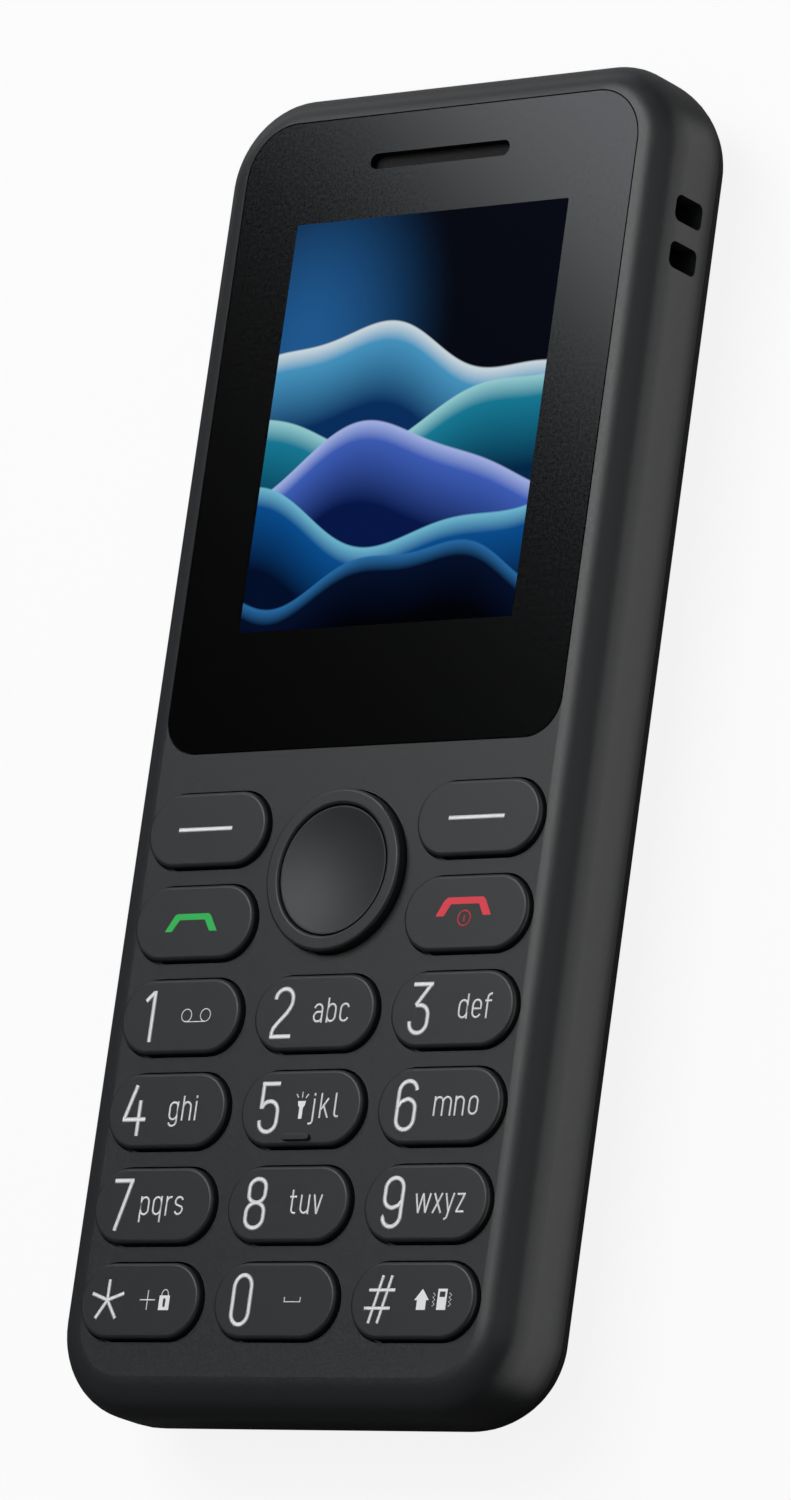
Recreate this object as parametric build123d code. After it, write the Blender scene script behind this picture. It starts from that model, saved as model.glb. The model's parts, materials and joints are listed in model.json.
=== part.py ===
from build123d import *
import math
import os

# Feature phone lying on its back. Units are millimetres.
# The origin is the middle of the back face. +X is the right of the keypad, +Y points to the earpiece
# and +Z points out of the display.

os.makedirs("parts", exist_ok=True)

# Case
body_width = 46.3
body_length = 111.6
body_depth = 12.6
body_corner_radius = 7.6
front_edge_radius = 3.0
back_edge_radius = 7.2
edge_slack = 0.3
case_wall = 1.4
parting_share = 0.380952381
parting_seam = 0.1
fit_gap = 0.1
overrun = 5.0

# Window and display
window_side_margin = 2.9
window_length_share = 0.48656
window_thickness = 0.8
window_top_radius = 4.7
window_bottom_radius = 3.3
window_top_margin = 2.74
window_gap = 0.12
adhesive_thickness = 0.1
adhesive_width = 2.0
display_length_share = 0.6453
display_top_inset = 9.08
view_border = 1.2
module_boss_gap = 0.7
module_side_border = 2.985
module_top_border = 2.6
module_from_window = 2.08
backlight_rim = 0.6
backlight_floor = 0.9
panel_gap = 0.1
gasket_thickness = 0.3
flex_width = 12.0
flex_thickness = 0.15
flex_reach = 3.4

# Earpiece
slot_length = 14.4
slot_width = 1.36
slot_from_window_top = 4.15
earpiece_length = 12.0
earpiece_width = 5.5
earpiece_offset = 1.0
earpiece_radius = 1.5
mesh_thickness = 0.1
mesh_border = 0.5

# Keys
key_width_share = 0.8877
key_height_share = 0.7936
key_rise = 0.6
key_edge_radius = 0.3
key_gap = 0.2
key_column_share = 0.3
first_row_from_window = 6.53
last_row_from_end = 9.03
flange_width = 0.4
flange_thickness = 0.45
flange_gap = 0.1
finger_bar_length = 2.8
finger_bar_width = 0.53
finger_bar_height = 0.3
finger_bar_edge_radius = 0.08
finger_bar_from_middle = 2.4

# Navigation key
nav_row_share = 0.8628
nav_column_share = 0.4845
nav_wall = 1.28
nav_rise = 0.93
nav_edge_radius = 0.25
nav_gap = 0.15
nav_flange_width = 0.5
nav_flange_thickness = 0.35
nav_swing_gap = 0.3
nav_step_wall = 0.58
nav_step_height = 1.05
select_rise = 0.75
select_dish_depth = 0.75
select_lip = 0.12
select_brim_side_gap = 0.3
select_brim_thickness = 0.4
select_brim_gap = 0.25
select_stem_radius = 2.0
select_stem_drop = 0.2
nav_pad_inset = 0.13
nav_plunger_gap = 0.25

# Keymat, domes and key lights
keymat_gap = 0.35
keymat_thickness = 0.4
keymat_margin = 0.1
keymat_strip = 0.6
plunger_radius = 1.0
plunger_gap = 0.05
dome_radius = 2.0
dome_height = 0.25
nav_dome_radius = 1.3
dome_film_thickness = 0.08
dome_window_gap = 0.3
key_light_length = 1.6
key_light_width = 0.8
key_light_height = 0.5
nav_dome_inset = 1.53

# Main board
board_thickness = 0.8
board_from_face = 3.6
board_gap = 0.35
boss_radius = 1.6
boss_pilot_radius = 0.75
boss_clearance = 0.25
screw_radius = 0.7
screw_length = 4.3
screw_head_radius = 1.2
screw_head_height = 0.8
screw_hole_radius = 0.9
driver_depth = 0.4
driver_width = 0.35
side_boss_inset = 3.85
upper_boss_from_cap = 3.0
bottom_boss_gap = 0.4
can_height = 0.9
can_wall = 0.2
can_corner_radius = 0.6
sim_width = 15.0
sim_end_margin = 3.725
sim_height = 1.2
sim_slot_height = 0.8
baseband_length = 26.0
power_can_width = 9.0
power_can_length = 34.0
can_spacing = 2.0

# Rear housing and battery cover
cover_wall = 1.2
chassis_gap = 0.3
chassis_wall = 0.8
chassis_board_gap = 1.0
floor_thickness = 0.6
cap_length = 31.8
cap_ledge = 0.9
cap_cross_wall = 3.0
thumb_length = 9.0
thumb_width = 16.0
thumb_depth = 0.45
thumb_from_seam = 9.5
rail_height = 0.6
rail_depth = 1.9
rail_drop = 0.2
rail_length_share = 0.7
groove_gap = 0.3

# Battery
battery_side_room = 6.15
battery_end_room = 20.6
battery_edge_radius = 0.8
battery_corner_radius = 1.6
battery_gap = 0.2
battery_lift = 0.4
contact_width = 2.2
contact_height = 1.6
contact_thickness = 0.25
contact_pitch = 4.0
connector_width = 12.5
connector_depth = 3.2
spring_width = 1.4
spring_gap = 0.3

# Loudspeaker
speaker_width = 15.0
speaker_length = 11.0
speaker_height = 3.0
speaker_radius = 4.0
speaker_from_seam = 9.5
speaker_gasket_thickness = 0.3
speaker_rim = 1.2
membrane_thickness = 0.2
membrane_recess = 0.4
grille_slot_count = 5
grille_slot_width = 1.0
grille_slot_length = 9.0
grille_pitch = 1.9
fence_wall = 0.8
fence_gap = 0.2

# Vibration motor
motor_share = 0.3704
motor_length = 8.0
motor_from_end = 10.5
motor_offset_x = 2.5
motor_gap = 0.2
shaft_radius = 0.4
shaft_clearance = 0.05
shaft_depth = 3.0
weight_inset = 0.1
weight_length = 3.2
weight_gap = 0.5
cradle_wall = 0.8

# Microphone
mic_from_side = 10.85
mic_radius = 1.9
mic_height = 1.3
mic_from_end = 3.9
mic_hole_radius = 0.5
mic_hole_from_board = 2.0
boot_wall = 0.4

# Top end: sockets and torch
usb_from_side = 12.65
usb_width = 7.6
usb_height = 2.6
usb_depth = 5.4
usb_shell = 0.3
usb_tongue_height = 0.6
usb_tongue_share = 0.55
usb_lip = 0.4
usb_opening_gap = 0.2
jack_from_side = 12.15
jack_bore_radius = 1.8
jack_body_width = 5.0
jack_body_height = 4.4
jack_length = 12.0
jack_from_face = 5.75
jack_bore_depth = 11.0
torch_from_board = 0.6
torch_lens_radius = 1.5
torch_lens_gap = 0.1
torch_led_width = 2.4
torch_led_depth = 1.4
torch_led_height = 0.9

# Strap holes
strap_hole_width = 2.2
strap_hole_height = 3.5
strap_hole_radius = 0.6
strap_spacing = 3.9
strap_from_top = 14.45
strap_from_face = 4.15
strap_pocket_depth = 2.0
strap_pocket_wall = 0.6

# Antenna
antenna_thickness = 0.15
antenna_width = 2.0
antenna_length = 22.0
antenna_gap = 0.2

# Places worked out from the sizes above
half_width = body_width / 2
half_length = body_length / 2
face = body_depth
face_under = face - case_wall
inner_end = half_length - case_wall
inner_side = half_width - case_wall
parting_height = body_depth * parting_share
chassis_inset = cover_wall + chassis_gap
chassis_inner = chassis_inset + chassis_wall
board_top = face - board_from_face
board_bottom = board_top - board_thickness
board_inset = case_wall + board_gap
chassis_top = board_bottom - chassis_board_gap
floor_bottom = chassis_top - floor_thickness
cap_start = half_length - cap_length
rail_top = parting_height - rail_drop
side_boss_x = half_width - side_boss_inset

window_width = body_width - 2 * window_side_margin
window_length = body_length * window_length_share
window_top = half_length - window_top_margin
window_y = window_top - window_length / 2
window_bottom = window_top - window_length
window_back = face - window_thickness
ledge_top = window_back - adhesive_thickness
module_width = 2 * (side_boss_x - boss_radius - module_boss_gap)
display_width = module_width - 2 * module_side_border
display_length = window_length * display_length_share
display_y = window_top - display_top_inset - display_length / 2
module_top = display_y + display_length / 2 + module_top_border
module_bottom = window_bottom + module_from_window
module_front = face_under - gasket_thickness
module_back = board_top + panel_gap
slot_y = window_top - slot_from_window_top
earpiece_y = slot_y + earpiece_offset

soft_row_y = window_bottom - first_row_from_window
last_row_y = last_row_from_end - half_length
key_row_pitch = (soft_row_y - last_row_y) / 5
key_column_pitch = body_width * key_column_share
key_width = key_column_pitch * key_width_share
key_height = key_row_pitch * key_height_share
row_ys = [soft_row_y - key_row_pitch * row for row in range(6)]
column_xs = [key_column_pitch * column for column in (-1, 0, 1)]
key_top = face + key_rise
flange_top = face_under - flange_gap
flange_bottom = flange_top - flange_thickness
keymat_top = flange_bottom - keymat_gap
keymat_bottom = keymat_top - keymat_thickness
nav_y = (row_ys[0] + row_ys[1]) / 2
nav_outer_radius = min(key_row_pitch * nav_row_share, key_column_pitch * nav_column_share)
keymat_opening = nav_outer_radius + nav_flange_width + nav_gap
keymat_high_y = nav_y + keymat_opening + keymat_strip
keymat_low_y = row_ys[-1] - key_height / 2 - flange_width - keymat_margin
keymat_side = key_column_pitch + key_width / 2 + flange_width + keymat_margin
dome_top = board_top + dome_height

nav_top = face + nav_rise
nav_inner_radius = nav_outer_radius - nav_wall
nav_step_radius = nav_outer_radius - nav_step_wall
nav_pad_radius = nav_outer_radius - nav_pad_inset
nav_dome_reach = nav_outer_radius - nav_dome_inset
nav_flange_top = face_under - nav_swing_gap
nav_flange_bottom = nav_flange_top - nav_flange_thickness
nav_step_top = nav_flange_bottom + nav_step_height
select_top = face + select_rise
select_radius = nav_inner_radius - nav_gap
select_brim_radius = nav_step_radius - select_brim_side_gap

mic_x = mic_from_side - half_width
mic_y = mic_from_end - half_length
mic_hole_height = board_bottom - mic_hole_from_board
upper_boss_y = cap_start - upper_boss_from_cap
middle_boss_y = keymat_high_y + boss_clearance + boss_radius
bottom_boss_y = keymat_low_y - boss_clearance - boss_radius
bottom_boss_x = -mic_x - mic_radius - boot_wall - boss_radius - bottom_boss_gap
boss_places = [(side, y) for y in (upper_boss_y, middle_boss_y) for side in (-side_boss_x, side_boss_x)]
boss_places += [(side, bottom_boss_y) for side in (-bottom_boss_x, bottom_boss_x)]

battery_width = body_width - 2 * battery_side_room
battery_top_y = cap_start - cap_cross_wall - battery_gap - upper_boss_from_cap
battery_low_y = battery_end_room - half_length
battery_length = battery_top_y - battery_low_y
battery_y = (battery_top_y + battery_low_y) / 2
battery_bottom = cover_wall + battery_lift
battery_top = floor_bottom - battery_gap
bay_half_width = battery_width / 2 + battery_gap
baseband_width = 2 * bay_half_width - 2 * can_spacing - power_can_width
sim_low_y = middle_boss_y - boss_radius
sim_high_y = battery_top_y - sim_end_margin

speaker_y = cap_start + speaker_from_seam
speaker_bottom = case_wall + speaker_gasket_thickness
motor_radius = (floor_bottom - cover_wall) * motor_share
weight_radius = motor_radius - weight_inset
motor_y = motor_from_end - half_length
motor_z = floor_bottom - motor_radius - motor_gap
usb_x = usb_from_side - half_width
usb_z = board_bottom - usb_height / 2
jack_x = half_width - jack_from_side
jack_height = face - jack_from_face
torch_height = board_bottom - torch_from_board
strap_y = half_length - strap_from_top
strap_height = face - strap_from_face

key_rows = [
    ["key_soft_left", None, "key_soft_right"],
    ["key_call", None, "key_end"],
    ["key_1", "key_2", "key_3"],
    ["key_4", "key_5", "key_6"],
    ["key_7", "key_8", "key_9"],
    ["key_star", "key_0", "key_hash"],
]
key_places = {}
for row_number, row_names in enumerate(key_rows):
    for column_number, key_name in enumerate(row_names):
        if key_name:
            key_places[key_name] = (column_number, row_number)


def block(low_x, high_x, low_y, high_y, low_z, high_z):
    """A box between two corners."""
    middle = Pos((low_x + high_x) / 2, (low_y + high_y) / 2, (low_z + high_z) / 2)
    return middle * Box(high_x - low_x, high_y - low_y, high_z - low_z)


def layer(low_z, high_z):
    """A slab wider than the case between two heights."""
    wide = half_width + overrun
    long = half_length + overrun
    return block(-wide, wide, -long, long, low_z, high_z)


def rod(radius, x, y, low_z, high_z):
    """An upright round bar."""
    return Pos(x, y, (low_z + high_z) / 2) * Cylinder(radius, high_z - low_z)


def bar_y(radius, x, low_y, high_y, z):
    """A round bar along Y."""
    return Pos(x, (low_y + high_y) / 2, z) * Rot(X=90) * Cylinder(radius, high_y - low_y)


def bar_x(radius, low_x, high_x, y, z):
    """A round bar along X."""
    return Pos((low_x + high_x) / 2, y, z) * Rot(Y=90) * Cylinder(radius, high_x - low_x)


def prism(outline, x, y, low_z, high_z):
    """A flat outline raised between two heights."""
    return Pos(x, y, low_z) * extrude(outline, high_z - low_z)


def case_form(inset):
    """The whole outer form of the phone, drawn in by an inset on every side."""
    corner = body_corner_radius - inset
    front = min(front_edge_radius - inset, corner - edge_slack)
    back = min(back_edge_radius - inset, corner - edge_slack)
    outline = RectangleRounded(body_width - 2 * inset, body_length - 2 * inset, corner)
    form = prism(outline, 0, 0, inset, body_depth - inset)
    form = fillet(form.edges().group_by(Axis.Z)[0], back)
    if front > 0:
        form = fillet(form.edges().group_by(Axis.Z)[-1], front)
    return form


def window_outline(inset):
    """The window's outline, with wider corners at the earpiece end."""
    sheet = Rectangle(window_width - 2 * inset, window_length - 2 * inset)
    high = sheet.vertices().group_by(Axis.Y)[-1]
    sheet = fillet(high, window_top_radius - inset)
    low = sheet.vertices().group_by(Axis.Y)[0]
    return fillet(low, window_bottom_radius - inset)


def save(solid, name):
    solid.label = name
    export_step(solid, f"parts/{name}.step")


outer = case_form(0)
cavity = case_form(case_wall)
cover_cavity = case_form(cover_wall)
chassis_form = case_form(chassis_inset)
chassis_hollow = case_form(chassis_inner)
window_cut = window_outline(0)
window_edge = window_outline(window_gap)


def front_housing():
    shell = outer & layer(parting_height, face + overrun)
    shell -= cavity
    shell += bosses()
    shell += strap_pocket() & outer
    shell -= prism(window_cut, 0, window_y, ledge_top, face + overrun)
    view_x = display_width / 2 + view_border
    view_y = display_length / 2 + view_border
    shell -= block(-view_x, view_x, display_y - view_y, display_y + view_y, module_back, face)
    shell -= prism(SlotOverall(slot_length, slot_width), 0, slot_y, module_back, face)
    for column, row in key_places.values():
        hole = SlotOverall(key_width + 2 * key_gap, key_height + 2 * key_gap)
        shell -= prism(hole, column_xs[column], row_ys[row], board_top, face + overrun)
    shell -= rod(nav_outer_radius + nav_gap, 0, nav_y, board_top, face + overrun)
    shell -= strap_holes()
    shell -= end_openings()
    shell -= bar_y(mic_hole_radius, mic_x, -half_length - overrun, mic_y, mic_hole_height)
    return shell


def bosses():
    posts = []
    for x, y in boss_places:
        post = rod(boss_radius, x, y, board_top, face_under + fit_gap)
        post -= rod(boss_pilot_radius, x, y, board_top, face_under - fit_gap)
        posts.append(post)
    return posts


def strap_holes():
    holes = []
    for y in (strap_y - strap_spacing / 2, strap_y + strap_spacing / 2):
        outline = RectangleRounded(strap_hole_width, strap_hole_height, strap_hole_radius)
        depth = case_wall + strap_pocket_depth
        tool = extrude(Plane.YZ * outline, depth + overrun)
        holes.append(Pos(half_width - depth, y, strap_height) * tool)
    return holes


def strap_room(grow):
    """The room behind the strap's bar, grown by a wall or a clearance."""
    reach = strap_spacing / 2 + strap_hole_width / 2 + grow
    low_z = strap_height - strap_hole_height / 2 - grow
    high_z = strap_height + strap_hole_height / 2 + grow
    inside = inner_side - strap_pocket_depth - grow
    return block(inside, inner_side + fit_gap, strap_y - reach, strap_y + reach, low_z, high_z)


def strap_pocket():
    return strap_room(strap_pocket_wall) - strap_room(0)


def end_openings():
    """The holes through the upper end wall for the two sockets and the torch."""
    wide = usb_width + 2 * usb_opening_gap
    high = usb_height + 2 * usb_opening_gap
    outline = RectangleRounded(wide, high, high / 2 - usb_opening_gap)
    tool = extrude(Plane.XZ * outline, -(case_wall + 2 * overrun))
    low_y = inner_end - overrun
    holes = Pos(usb_x, low_y, usb_z) * tool
    holes += bar_y(jack_bore_radius, jack_x, low_y, half_length + overrun, jack_height)
    lens_hole = torch_lens_radius + torch_lens_gap
    return holes + bar_y(lens_hole, 0, low_y, half_length + overrun, torch_height)


def display_window():
    pane = prism(window_edge, 0, window_y, window_back, face)
    pane -= prism(SlotOverall(slot_length, slot_width), 0, slot_y, ledge_top, face + overrun)
    return pane


def window_adhesive():
    wide = window_width / 2 - window_gap - adhesive_width
    low = window_bottom + window_gap + adhesive_width
    high = slot_y - slot_width - adhesive_width
    tape = prism(window_edge, 0, window_y, ledge_top, window_back)
    tape -= block(-wide, wide, low, high, module_back, face)
    border = slot_width + 2 * mesh_border + 2 * fit_gap
    room = SlotOverall(slot_length + 2 * mesh_border + 2 * fit_gap, border)
    tape -= prism(room, 0, slot_y, module_back, face)
    return tape


def earpiece_mesh():
    outline = SlotOverall(slot_length + 2 * mesh_border, slot_width + 2 * mesh_border)
    return prism(outline, 0, slot_y, ledge_top, ledge_top + mesh_thickness)


def display_gasket():
    view_x = display_width / 2 + view_border
    view_y = display_length / 2 + view_border
    half = module_width / 2 - backlight_rim
    ring = block(-half, half, module_bottom + backlight_rim, module_top, module_front, face_under)
    ring -= block(-view_x, view_x, display_y - view_y, display_y + view_y, module_back, face)
    return ring


def backlight_unit():
    half = module_width / 2
    frame = block(-half, half, module_bottom, module_top, module_back, module_front)
    pocket = half - backlight_rim
    low = module_bottom + backlight_rim
    high = module_top - backlight_rim
    floor = module_back + backlight_floor
    return frame - block(-pocket, pocket, low, high, floor, module_front + overrun)


def lcd_panel():
    half = module_width / 2 - backlight_rim - panel_gap
    low = module_bottom + backlight_rim + panel_gap
    high = module_top - backlight_rim - panel_gap
    return block(-half, half, low, high, module_back + backlight_floor, module_front)


def display_flex():
    half = flex_width / 2
    near = module_bottom - fit_gap
    far = near - flex_reach
    upright = block(-half, half, near - flex_thickness, near, board_top, module_front)
    foot = block(-half, half, far, near, board_top, board_top + flex_thickness)
    return upright + foot


def earpiece():
    outline = RectangleRounded(earpiece_length, earpiece_width, earpiece_radius)
    return prism(outline, 0, earpiece_y, board_top, face_under)


def keycap(name, column, row):
    x = column_xs[column]
    y = row_ys[row]
    cap = prism(SlotOverall(key_width, key_height), x, y, flange_bottom, key_top)
    cap = fillet(cap.edges().group_by(Axis.Z)[-1], key_edge_radius)
    brim = SlotOverall(key_width + 2 * flange_width, key_height + 2 * flange_width)
    cap += prism(brim, x, y, flange_bottom, flange_top)
    if name == "key_5":
        outline = SlotOverall(finger_bar_length, finger_bar_width)
        low = key_top - key_edge_radius
        bar = prism(outline, x, y - finger_bar_from_middle, low, key_top + finger_bar_height)
        cap += fillet(bar.edges().group_by(Axis.Z)[-1], finger_bar_edge_radius)
    return cap


def nav_ring():
    ring = rod(nav_outer_radius, 0, nav_y, nav_flange_bottom, nav_top)
    ring -= rod(nav_inner_radius, 0, nav_y, nav_flange_bottom - overrun, nav_top + overrun)
    ring = fillet(ring.edges().group_by(Axis.Z)[-1], nav_edge_radius)
    ring += rod(nav_outer_radius + nav_flange_width, 0, nav_y, nav_flange_bottom, nav_flange_top)
    return ring - rod(nav_step_radius, 0, nav_y, nav_flange_bottom - overrun, nav_step_top)


def select_key():
    brim_top = nav_step_top - select_brim_gap
    brim_bottom = brim_top - select_brim_thickness
    cap = rod(select_radius, 0, nav_y, brim_bottom, select_top)
    cap += rod(select_brim_radius, 0, nav_y, brim_bottom, brim_top)
    cap += rod(select_stem_radius, 0, nav_y, brim_bottom - select_stem_drop, brim_bottom)
    dish = select_radius - select_lip
    sphere = (dish * dish + select_dish_depth * select_dish_depth) / (2 * select_dish_depth)
    return cap - Pos(0, nav_y, select_top + sphere - select_dish_depth) * Sphere(sphere)


def nav_pad():
    pad = rod(nav_pad_radius, 0, nav_y, keymat_bottom, keymat_top)
    for x, y in nav_dome_places():
        pad += rod(plunger_radius, x, y, dome_top + nav_plunger_gap, keymat_bottom)
    return pad


def nav_dome_places():
    """The four domes under the ring, right, up, left and down."""
    places = []
    for turn in range(4):
        angle = math.radians(90 * turn)
        places.append((nav_dome_reach * math.cos(angle), nav_y + nav_dome_reach * math.sin(angle)))
    return places


def dome_places():
    """Each dome as its place and radius."""
    places = [(column_xs[c], row_ys[r], dome_radius) for c, r in key_places.values()]
    places.append((0, nav_y, dome_radius))
    places += [(x, y, nav_dome_radius) for x, y in nav_dome_places()]
    return places


def light_places():
    """Key lights stand between the columns, beside every second row."""
    half = key_column_pitch / 2
    return [(side, row_ys[row]) for row in (2, 3, 5) for side in (-half, half)]


def keymat():
    sheet = block(-keymat_side, keymat_side, keymat_low_y, keymat_high_y, keymat_bottom, keymat_top)
    sheet -= rod(keymat_opening, 0, nav_y, board_top, keymat_top + overrun)
    low = dome_top + plunger_gap
    for column, row in key_places.values():
        sheet += rod(plunger_radius, column_xs[column], row_ys[row], low, keymat_bottom + fit_gap)
    return sheet


def dome_film():
    low = board_top
    sheet = block(-keymat_side, keymat_side, keymat_low_y, keymat_high_y, low, low + dome_film_thickness)
    for x, y, radius in dome_places():
        sheet -= rod(radius + dome_window_gap, x, y, low - overrun, low + overrun)
    for x, y in light_places():
        across = key_light_width / 2 + dome_window_gap
        along = key_light_length / 2 + dome_window_gap
        sheet -= block(x - across, x + across, y - along, y + along, low - overrun, low + overrun)
    foot = flex_width / 2 + fit_gap
    flex_end = module_bottom - fit_gap - flex_reach - fit_gap
    sheet -= block(-foot, foot, flex_end, keymat_high_y + overrun, low - overrun, low + overrun)
    return sheet


def snap_domes():
    domes = []
    for x, y, radius in dome_places():
        sphere = (radius * radius + dome_height * dome_height) / (2 * dome_height)
        cap = Pos(x, y, dome_top - sphere) * Sphere(sphere)
        domes.append(cap & block(x - radius, x + radius, y - radius, y + radius, board_top, dome_top))
    return Compound(domes)


def keypad_leds():
    lights = []
    for x, y in light_places():
        across = key_light_width / 2
        along = key_light_length / 2
        top = board_top + key_light_height
        lights.append(block(x - across, x + across, y - along, y + along, board_top, top))
    return Compound(lights)


def jack_room(grow):
    """The block of the audio socket, grown by a clearance."""
    low_x = jack_x - jack_body_width / 2 - grow
    high_x = jack_x + jack_body_width / 2 + grow
    low_z = jack_height - jack_body_height / 2 - grow
    high_z = jack_height + jack_body_height / 2 + grow
    return block(low_x, high_x, inner_end - jack_length - grow, inner_end, low_z, high_z)


def audio_jack():
    body = jack_room(0) & cavity
    return body - bar_y(jack_bore_radius, jack_x, inner_end - jack_bore_depth, half_length, jack_height)


def main_board():
    outline = RectangleRounded(
        body_width - 2 * board_inset, body_length - 2 * board_inset, body_corner_radius - board_inset
    )
    board = prism(outline, 0, 0, board_bottom, board_top)
    for x, y in boss_places:
        board -= rod(screw_hole_radius, x, y, board_bottom - overrun, board_top + overrun)
    board -= jack_room(board_gap) + Pos(0, overrun, 0) * jack_room(board_gap)
    board -= strap_room(strap_pocket_wall + board_gap)
    return board


def usb_socket():
    low_y = half_length - usb_lip - usb_depth
    high_y = half_length - usb_lip
    outline = RectangleRounded(usb_width, usb_height, usb_height / 2 - usb_opening_gap)
    inside = RectangleRounded(
        usb_width - 2 * usb_shell, usb_height - 2 * usb_shell, usb_height / 2 - usb_opening_gap - usb_shell
    )
    shell = Pos(usb_x, low_y, usb_z) * extrude(Plane.XZ * outline, low_y - high_y)
    shell -= Pos(usb_x, low_y + usb_shell, usb_z) * extrude(Plane.XZ * inside, low_y - high_y)
    half = usb_width * usb_tongue_share / 2
    tongue_z = usb_tongue_height / 2
    tongue_end = high_y - usb_shell
    tongue = block(usb_x - half, usb_x + half, low_y, tongue_end, usb_z - tongue_z, usb_z + tongue_z)
    return shell + tongue


def torch_lens():
    lens = bar_y(torch_lens_radius, 0, inner_end, half_length + overrun, torch_height)
    return lens & outer


def torch_led():
    high_y = inner_end - torch_lens_gap
    half = torch_led_width / 2
    low_z = board_bottom - torch_led_height
    return block(-half, half, high_y - torch_led_depth, high_y, low_z, board_bottom)


def can(low_x, high_x, low_y, high_y):
    """A folded metal can under the board, open towards the board."""
    wide = high_x - low_x
    long = high_y - low_y
    x = (low_x + high_x) / 2
    y = (low_y + high_y) / 2
    low_z = board_bottom - can_height
    shell = prism(RectangleRounded(wide, long, can_corner_radius), x, y, low_z, board_bottom)
    inside = Rectangle(wide - 2 * can_wall, long - 2 * can_wall)
    return shell - prism(inside, x, y, low_z + can_wall, board_bottom + overrun)


def baseband_shield():
    low_x = can_spacing / 2 - bay_half_width
    low_y = middle_boss_y - boss_radius - can_spacing - baseband_length
    return can(low_x, low_x + baseband_width, low_y, low_y + baseband_length)


def power_shield():
    high_x = bay_half_width - can_spacing / 2
    high_y = middle_boss_y - boss_radius - can_spacing + power_can_length - baseband_length
    return can(high_x - power_can_width, high_x, high_y - power_can_length, high_y)


def sim_room(grow):
    low_x = can_spacing / 2 - bay_half_width - grow
    high_x = can_spacing / 2 - bay_half_width + sim_width + grow
    return low_x, high_x, sim_low_y - grow, sim_high_y + grow


def sim_holder():
    low_x, high_x, low_y, high_y = sim_room(0)
    bottom = board_bottom - sim_height
    frame = block(low_x, high_x, low_y, high_y, bottom, board_bottom)
    wall = can_wall * 2
    slot_top = bottom + can_wall + sim_slot_height
    frame -= block(low_x + wall, high_x - wall, low_y + wall, high_y + overrun, bottom + can_wall, slot_top)
    lip = sim_width / 4
    frame -= block(low_x + lip, high_x - lip, low_y + lip, high_y + overrun, bottom - overrun, slot_top)
    return frame


def battery():
    outline = RectangleRounded(battery_width, battery_length, battery_corner_radius)
    pack = prism(outline, 0, battery_y, battery_bottom, battery_top)
    pack = fillet(pack.edges().group_by(Axis.Z)[0], battery_edge_radius)
    pack = fillet(pack.edges().group_by(Axis.Z)[-1], battery_edge_radius)
    for x in contact_xs():
        pack -= contact(x)
    return pack


def contact_xs():
    return [contact_pitch * column for column in (-1, 0, 1)]


def contact(x):
    half = contact_width / 2
    middle = (battery_bottom + battery_top) / 2
    low_z = middle - contact_height / 2
    high_z = middle + contact_height / 2
    return block(x - half, x + half, battery_top_y - contact_thickness, battery_top_y, low_z, high_z)


def battery_contacts():
    return Compound([contact(x) for x in contact_xs()])


def connector_room(grow):
    low_y = battery_top_y + battery_gap + spring_gap
    middle = (battery_bottom + battery_top) / 2
    low_z = middle - contact_height / 2 - spring_gap
    half = connector_width / 2 + grow
    return block(-half, half, low_y - grow, low_y + connector_depth + grow, low_z - grow, board_bottom)


def battery_connector():
    body = connector_room(0)
    for spring in springs(fit_gap):
        body -= spring
    return body


def springs(grow):
    low_y = battery_top_y + fit_gap
    high_y = battery_top_y + battery_gap + spring_gap + connector_depth / 2
    middle = (battery_bottom + battery_top) / 2
    low_z = middle - contact_height / 2 - grow
    high_z = middle + contact_height / 2 + grow
    half = spring_width / 2 + grow
    return [block(x - half, x + half, low_y - grow, high_y, low_z, high_z) for x in contact_xs()]


def connector_springs():
    return Compound(springs(0))


def case_screws():
    screws = []
    for x, y in boss_places:
        screw = rod(screw_head_radius, x, y, floor_bottom - screw_head_height, floor_bottom)
        slot_z = floor_bottom - screw_head_height + driver_depth
        low_z = floor_bottom - screw_head_height - overrun
        reach = screw_head_radius - driver_width
        half = driver_width / 2
        screw -= block(x - reach, x + reach, y - half, y + half, low_z, slot_z)
        screw -= block(x - half, x + half, y - reach, y + reach, low_z, slot_z)
        screws.append(screw + rod(screw_radius, x, y, floor_bottom, floor_bottom + screw_length))
    return Compound(screws)


def speaker_outline(grow):
    return RectangleRounded(speaker_width + 2 * grow, speaker_length + 2 * grow, speaker_radius + grow)


def loudspeaker():
    top = speaker_bottom + speaker_height
    body = prism(speaker_outline(0), 0, speaker_y, speaker_bottom, top)
    cone = speaker_outline(-speaker_rim)
    return body - prism(cone, 0, speaker_y, speaker_bottom - overrun, speaker_bottom + membrane_recess)


def speaker_membrane():
    low = speaker_bottom + membrane_recess - membrane_thickness
    return prism(speaker_outline(-speaker_rim), 0, speaker_y, low, speaker_bottom + membrane_recess)


def speaker_gasket():
    ring = prism(speaker_outline(0), 0, speaker_y, case_wall, speaker_bottom)
    return ring - prism(speaker_outline(-speaker_rim), 0, speaker_y, 0, face)


def motor_low_x():
    return motor_offset_x - motor_length


def vibration_motor():
    body = bar_x(motor_radius, motor_low_x(), motor_offset_x, motor_y, motor_z)
    bore = shaft_radius + shaft_clearance
    return body - bar_x(bore, motor_offset_x - shaft_depth, motor_offset_x + overrun, motor_y, motor_z)


def motor_shaft():
    near = motor_offset_x - shaft_depth + shaft_clearance
    return bar_x(shaft_radius, near, motor_offset_x + weight_gap + weight_length, motor_y, motor_z)


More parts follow.
